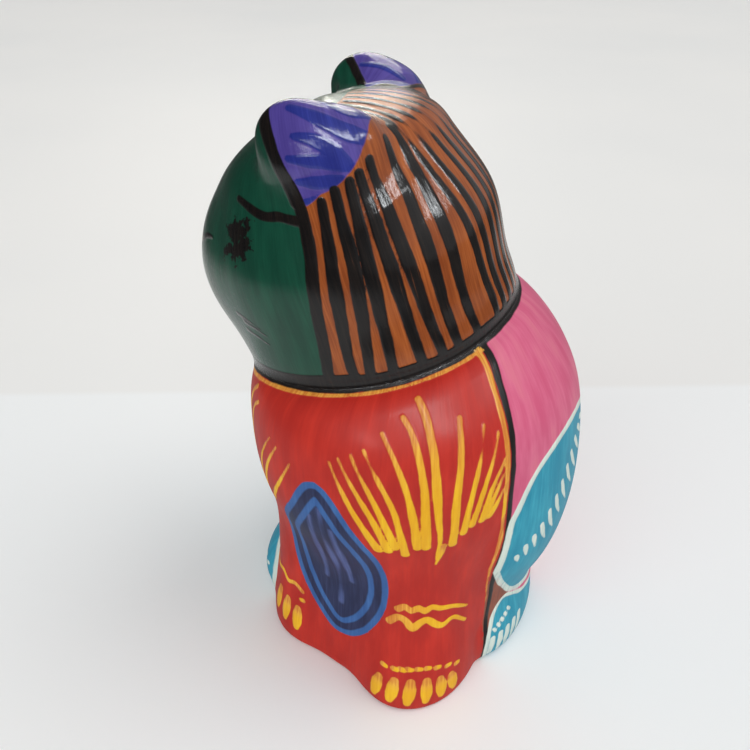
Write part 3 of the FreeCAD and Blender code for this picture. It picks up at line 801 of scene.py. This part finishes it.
# -------------------- materials: the paint
def paint_material(name, gloss, coat_roughness, coat, drag, base_shine):
    """Varnished acrylic over clay. The distance attributes, in mm, say where each colour lies."""
    t = Tree(name)
    space = t.node("TexCoord").outputs["Object"]
    wander = t.node("SeparateColor", {0: t.noise(space, 300.0, output="Color")})
    ripple = [t.mad(wander.outputs[i], 0.4, -0.2) for i in range(3)]
    brush = t.attribute("brush", vector=True)
    bristle = t.noise(t.place(brush, (1, 1, 0.045)), 2.6, 3.0, 0.62)
    broad = t.noise(t.place(brush, (1, 1, 0.22)), 0.42, 3.0, 0.55)
    cloud = t.noise(space, 95.0, 3.0, 0.55)
    speck = t.noise(space, 2600.0, 2.0, 0.7)

    def mask(layer, wobble=0, soft=0.13):
        return t.ramp(t.math("ADD", t.attribute(layer), ripple[wobble]), soft, -soft)

    def tone(dark, light, streak=0.6):
        share = t.mad(bristle, streak, t.mad(broad, 1.1 - streak, -0.08))
        return t.mix(t.ramp(share, 0.30, 0.78), srgb(*dark), srgb(*light))

    colour = tone((174, 32, 21), (200, 46, 30), 0.3)
    pink = tone((206, 86, 122), (224, 122, 152), 0.3)
    pink = t.mix(t.ramp(broad, 0.50, 0.72, 0.0, 0.35), pink, srgb(206, 108, 112))
    colour = t.mix(mask("pink", 0), colour, pink)
    colour = t.mix(mask("rust", 1), colour, tone((124, 66, 50), (158, 88, 64)))
    colour = t.mix(mask("teal", 1), colour, tone((26, 136, 164), (62, 168, 190), 0.5))
    brown = tone((128, 60, 22), (180, 97, 42), 0.5)
    colour = t.mix(t.attribute("head"), colour, brown)
    colour = t.mix(mask("green", 2), colour, tone((11, 60, 45), (18, 78, 58), 0.4))
    violet = tone((68, 55, 130), (90, 76, 158), 0.4)
    colour = t.mix(mask("violet", 0), colour, violet)
    colour = t.mix(mask("navy", 1), colour, tone((30, 38, 118), (46, 56, 146), 0.5))
    tear = t.attribute("tear")
    tear_inside = t.math("ADD", tear, t.math("MULTIPLY", ripple[2], 0.8))
    deep = tone((28, 36, 70), (52, 62, 102), 0.6)
    deep = t.mix(mask("streak", 0, 0.4), deep, tone((60, 76, 128), (96, 112, 162), 0.7))
    ring_blue = tone((44, 86, 146), (66, 114, 176), 0.5)
    for middle, half in ((-3.55, 0.62), (-0.6, 0.66)):
        gap = t.math("SUBTRACT", t.math("ABSOLUTE", t.math("SUBTRACT", tear_inside, middle)), half)
        deep = t.mix(t.ramp(gap, 0.2, -0.2), deep, ring_blue)
    colour = t.mix(mask("tear", 2), colour, deep)
    colour = t.mix(mask("eye", 0), colour, tone((206, 150, 40), (232, 190, 70)))
    colour = t.mix(mask("nose", 1), colour, tone((176, 80, 88), (206, 110, 112)))
    black = tone((16, 14, 15), (34, 26, 22), 0.8)
    black_mask = mask("black", 0)
    thin = t.ramp(t.mad(bristle, 1.0, t.math("MULTIPLY", cloud, 0.5)), 0.92, 1.12, 1.0, 0.72)
    colour = t.mix(t.math("MULTIPLY", black_mask, thin), colour, black)
    # the painted dark reflection on the cheeks, broken up by brush noise and mixed in as black
    dark_reflection_share = t.noise(t.place(brush, (1, 1, 1.3)), 0.75, 4.0, 0.62)
    dark_reflection_share = t.math("ADD", t.attribute("smudge"), t.mad(dark_reflection_share, 7.0, -3.1))
    colour = t.mix(t.ramp(dark_reflection_share, 0.25, -0.25), colour, black)
    yellow_mask = mask("yellow", 1)
    dry = t.ramp(t.attribute("yellow_run"), 0.0, 0.6)
    cover = t.ramp(t.mad(dry, 0.55, bristle), 0.34, 0.78, 0.5, 1.0)
    yellow = t.mix(dry, tone((226, 158, 52), (242, 186, 78)), tone((228, 164, 14), (248, 202, 36), 0.5))
    colour = t.mix(t.math("MULTIPLY", yellow_mask, cover), colour, yellow)
    cream_mask = mask("cream", 2)
    cover = t.ramp(t.mad(t.attribute("cream_run"), -0.3, t.math("ADD", bristle, 0.2)),
                   0.25, 0.55, 0.72, 1.0)
    cream = tone((200, 218, 210), (232, 236, 224), 0.6)
    colour = t.mix(t.math("MULTIPLY", cream_mask, cover), colour, cream)

    def ridge(layer, low, high):
        return t.ramp(t.attribute(layer), low, high)

    height = t.math("MULTIPLY", ridge("black", 0.25, -0.4), 0.10)
    for layer, size in (("yellow", 0.14), ("cream", 0.14), ("navy", 0.08), ("streak", 0.05)):
        height = t.mad(ridge(layer, 0.3, -0.45), size, height)
    height = t.mad(bristle, 0.02, height)
    height = t.mad(broad, 0.05, height)
    height = t.mad(speck, 0.004, height)
    bump = t.bump(height)
    comb = t.noise(t.place(brush, (1, 1, 0.16)), 3.6, 3.0, 0.62)
    height = t.mad(comb, drag, height)
    varnish = t.bump(height)
    roughness = t.mad(bristle, 0.18, gloss)
    roughness = t.mad(black_mask, -0.06, roughness)
    return t.surface({"Base Color": colour, "Roughness": roughness, "Normal": bump, "IOR": 1.45,
                      "Specular IOR Level": base_shine, "Coat Weight": coat, "Coat IOR": 1.45,
                      "Coat Roughness": coat_roughness, "Coat Normal": varnish})


SLOTS = {"face_shell": "face_green", "head_rear_shell": "head_brown", "left_ear": "ear_violet",
         "right_ear": "ear_violet", "chest_shell": "chest_red", "left_foreleg": "chest_red",
         "right_foreleg": "chest_red", "left_forepaw": "chest_red", "right_forepaw": "chest_red",
         "back_shell": "back_pink", "tail": "back_pink", "left_haunch": "haunch_turquoise",
         "right_haunch": "haunch_turquoise", "left_hind_paw": "haunch_turquoise",
         "right_hind_paw": "haunch_turquoise"}
HEAD_PIECES = ("face_shell", "head_rear_shell", "left_ear", "right_ear")
head_paint = paint_material("head_paint", gloss=0.30, coat_roughness=0.06, coat=0.95, drag=0.034,
                            base_shine=0.1)
body_paint = paint_material("body_paint", gloss=0.48, coat_roughness=0.26, coat=0.2, drag=0.012,
                            base_shine=0.2)
THICK = 1.2                     # thickness of the painted pieces, mm


def put(mesh, name, values):
    """A number for each point, the same on the outer and the inner face."""
    attribute = mesh.attributes.new(name, "FLOAT", "POINT")
    attribute.data.foreach_set("value", np.tile(values, 2).astype("f4"))


def make_piece(node):
    """One closed piece: its share of the skin, an inner face and a rim between them."""
    mine = tris[owner == node]
    used, mine = np.unique(mine, return_inverse=True)
    mine = mine.reshape(-1, 3)
    rows = table[used]
    outer, normal = rows[:, :3], rows[:, 3:6]
    n = len(outer)
    edges = np.vstack([mine[:, (0, 1)], mine[:, (1, 2)], mine[:, (2, 0)]])
    code = edges[:, 0] * n + edges[:, 1]
    border = edges[~np.isin(edges[:, 1] * n + edges[:, 0], code)]
    faces = np.vstack([mine, mine[:, ::-1] + n,
                       np.stack([border[:, 1], border[:, 0], border[:, 0] + n], 1),
                       np.stack([border[:, 1], border[:, 0] + n, border[:, 1] + n], 1)])
    points = np.vstack([outer, outer - THICK * normal]) * MM
    mesh = bpy.data.meshes.new(node + "_painted")
    mesh.from_pydata(points.tolist(), [], faces.tolist())
    mesh.polygons.foreach_set("use_smooth", np.ones(len(faces), bool))
    for i, layer in enumerate(SCALARS):
        put(mesh, layer, rows[:, GAPS + i])
    for i, layer in enumerate(RUN_LAYERS):
        put(mesh, layer + "_run", rows[:, RUNS + i])
    put(mesh, "head", np.full(n, 1.0 if node in HEAD_PIECES else 0.0))
    strokes = mesh.attributes.new("brush", "FLOAT_VECTOR", "POINT")
    strokes.data.foreach_set("vector", np.tile(rows[:, BRUSH:BRUSH + 3], (2, 1)).astype("f4").ravel())
    mesh.materials.append(head_paint if node in HEAD_PIECES else body_paint)
    mesh.normals_split_custom_set_from_vertices(np.vstack([normal, -normal]).tolist())
    piece = bpy.data.objects.new(node + "_painted", mesh)
    bpy.context.scene.collection.objects.link(piece)
    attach(piece, "root")
    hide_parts(node)


for node in SLOTS:
    make_piece(node)


# -------------------- bare clay of the floor slab and coil
def clay_material():
    """Fired clay, mottled and gritty."""
    t = Tree("bare_clay")
    space = t.node("TexCoord").outputs["Object"]
    cloud = t.noise(space, 90.0, 4.0, 0.6)
    grain = t.noise(space, 1500.0, 3.0, 0.7)
    colour = t.mix(t.ramp(cloud, 0.3, 0.7), srgb(150, 92, 66), srgb(186, 124, 92))
    colour = t.mix(t.ramp(grain, 0.62, 0.75, 0.0, 0.5), colour, srgb(120, 74, 54))
    height = t.mad(cloud, 0.3, t.math("MULTIPLY", grain, 0.06))
    return t.surface({"Base Color": colour, "Normal": t.bump(height),
                      "Roughness": t.ramp(grain, 0.2, 0.8, 0.78, 0.95)})


bare = clay_material()
for node in ("floor_slab", "neck_coil"):
    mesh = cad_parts[node].data
    mesh.materials.clear()
    mesh.materials.append(bare)

# -------------------- stage: floor, light and camera
CAMERA_AT = Vector((58.645, -102.946, 133.260)) * MM
CAMERA_AZIMUTH, CAMERA_ELEVATION, CAMERA_ROLL = (math.radians(a) for a in (33.84, 33.48, -0.74))
LENS, SENSOR = 35.145, 36.0
FLOOR_LINE = 0.0747             # where the floor's tone changes, metres beyond the middle
FLOOR_HALF = 4                  # metres
ROOM_LIGHT = 0.47
LIT_AT = Vector((-0.004, 0.0, 0.07))


def camera_axes():
    """The camera's right, up and back."""
    a, e, r = CAMERA_AZIMUTH, CAMERA_ELEVATION, CAMERA_ROLL
    right = Vector((math.cos(a), math.sin(a), 0))
    up = Vector((-math.sin(a) * math.sin(e), math.cos(a) * math.sin(e), math.cos(e)))
    back = Vector((math.sin(a) * math.cos(e), -math.cos(a) * math.cos(e), math.sin(e)))
    return (right * math.cos(r) + up * math.sin(r), up * math.cos(r) - right * math.sin(r), back)


lens = bpy.data.cameras.new("camera")
lens.lens, lens.sensor_width, lens.clip_start, lens.clip_end = LENS, SENSOR, 0.005, 20.0
camera = bpy.data.objects.new("camera", lens)
camera.matrix_world = Matrix(camera_axes()).transposed().to_4x4()
camera.matrix_world.translation = CAMERA_AT
bpy.context.scene.collection.objects.link(camera)
bpy.context.scene.camera = camera

floor_mesh = bpy.data.meshes.new("floor")
floor_mesh.from_pydata([(x * FLOOR_HALF, y * FLOOR_HALF, 0)
                        for x, y in ((-1, -1), (1, -1), (1, 1), (-1, 1))], [], [(0, 1, 2, 3)])
floor = bpy.data.objects.new("floor", floor_mesh)
bpy.context.scene.collection.objects.link(floor)


def floor_material():
    """A pale table top, a little warmer beyond a line, and darker where varnish mirrors it."""
    t = Tree("floor")
    space = t.node("TexCoord").outputs["Object"]
    away = Vector((-math.sin(CAMERA_AZIMUTH), math.cos(CAMERA_AZIMUTH), 0))
    turned = t.node("VectorMath", {0: space, 1: away}, operation="DOT_PRODUCT").outputs["Value"]
    cloud = t.noise(space, 3.0, 3.0, 0.5)
    near = t.mix(t.ramp(cloud, 0.3, 0.7), srgb(240, 241, 241), srgb(245, 245, 244))
    far = t.mix(t.ramp(cloud, 0.3, 0.7), srgb(236, 235, 233), srgb(241, 239, 236))
    colour = t.mix(t.ramp(turned, FLOOR_LINE - 0.002, FLOOR_LINE + 0.002), near, far)
    distance = t.node("VectorMath", {0: space}, operation="LENGTH").outputs["Value"]
    fade = t.math("MULTIPLY", t.node("LightPath").outputs["Is Glossy Ray"],
                  t.ramp(distance, 0.18, 0.42, 0.35, 1.0))
    colour = t.mix(fade, colour, srgb(60, 60, 60))
    grain = t.noise(space, 900.0, 2.0, 0.6)
    return t.surface({"Base Color": colour, "Roughness": 0.6, "Normal": t.bump(grain, 0.15, 0.0001)})


floor_mesh.materials.append(floor_material())

world = bpy.data.worlds.new("studio")
bpy.context.scene.world = world
world.use_nodes = True


def room():
    """Pale to the camera, even as soft light, and a dim room with a brighter side in the gloss."""
    tree = world.node_tree
    nodes, links = tree.nodes, tree.links
    nodes.clear()
    out, shown, lit, mirrored = (nodes.new("ShaderNode" + kind) for kind in (
        "OutputWorld", "Background", "Background", "Background"))
    shown.inputs[0].default_value = srgb(224, 225, 223)
    lit.inputs[0].default_value = (0.95, 0.98, 1.0, 1)
    lit.inputs[1].default_value = ROOM_LIGHT
    way = nodes.new("ShaderNodeTexCoord")
    bright = nodes.new("ShaderNodeVectorMath")
    bright.operation = "DOT_PRODUCT"
    bright.inputs[1].default_value = (0.80, 0.55, 0.25)
    links.new(way.outputs["Generated"], bright.inputs[0])
    level = nodes.new("ShaderNodeMapRange")
    level.interpolation_type = "SMOOTHSTEP"
    for socket, value in ((1, -0.4), (2, 0.9), (3, 0.03), (4, 0.55)):
        level.inputs[socket].default_value = value
    links.new(bright.outputs["Value"], level.inputs[0])
    links.new(level.outputs[0], mirrored.inputs[1])
    path = nodes.new("ShaderNodeLightPath")
    last = lit.outputs[0]
    for ray, background in (("Is Glossy Ray", mirrored), ("Is Camera Ray", shown)):
        mix = nodes.new("ShaderNodeMixShader")
        links.new(path.outputs[ray], mix.inputs[0])
        links.new(last, mix.inputs[1])
        links.new(background.outputs[0], mix.inputs[2])
        last = mix.outputs[0]
    links.new(last, out.inputs[0])


room()


def from_angles(azimuth, elevation):
    """Unit vector towards a light; azimuth 0 is the cat's front, 90 its left."""
    a, e = math.radians(azimuth), math.radians(elevation)
    return Vector((math.sin(a) * math.cos(e), -math.cos(a) * math.cos(e), math.sin(e)))


def add_light(name, kind, azimuth, elevation, energy, colour, size, roll=0.0):
    """A sun lights the scene softly and isn't mirrored; an area light is only there for the gloss."""
    light = bpy.data.lights.new(name, kind)
    light.energy, light.color = energy, colour
    if kind == "SUN":
        light.angle = math.radians(size)
    else:
        light.shape = "RECTANGLE"
        light.size, light.size_y = size
    lamp = bpy.data.objects.new(name, light)
    way = from_angles(azimuth, elevation)
    turn = way.to_track_quat("Z", "Y").to_matrix() @ Matrix.Rotation(math.radians(roll), 3, "Z")
    lamp.matrix_world = turn.to_4x4()
    lamp.matrix_world.translation = LIT_AT + way
    lamp.visible_glossy, lamp.visible_diffuse = kind != "SUN", kind == "SUN"
    bpy.context.scene.collection.objects.link(lamp)


add_light("key_sun", "SUN", 124, 58, 1.05, (1.0, 0.99, 0.97), 44)
add_light("front_sun", "SUN", 15, 28, 1.4, (1.0, 1.0, 1.0), 80)
add_light("window", "AREA", 48, 46, 9.5, (0.93, 0.97, 1.0), (0.17, 0.75), 48)
add_light("side_window", "AREA", 99, 37, 2.2, (0.93, 0.97, 1.0), (0.14, 0.24), 20)
add_light("low_window", "AREA", 6, 26, 1.8, (0.95, 0.98, 1.0), (0.10, 0.36), 40)
for i, (azimuth, elevation) in enumerate(((-140, 20), (-148, 37), (-158, 54))):
    add_light("rear_strip_%d" % i, "AREA", azimuth, elevation, 1.4, (1.0, 0.97, 0.88), (0.5, 0.025))
bpy.context.scene.view_settings.view_transform = "Standard"
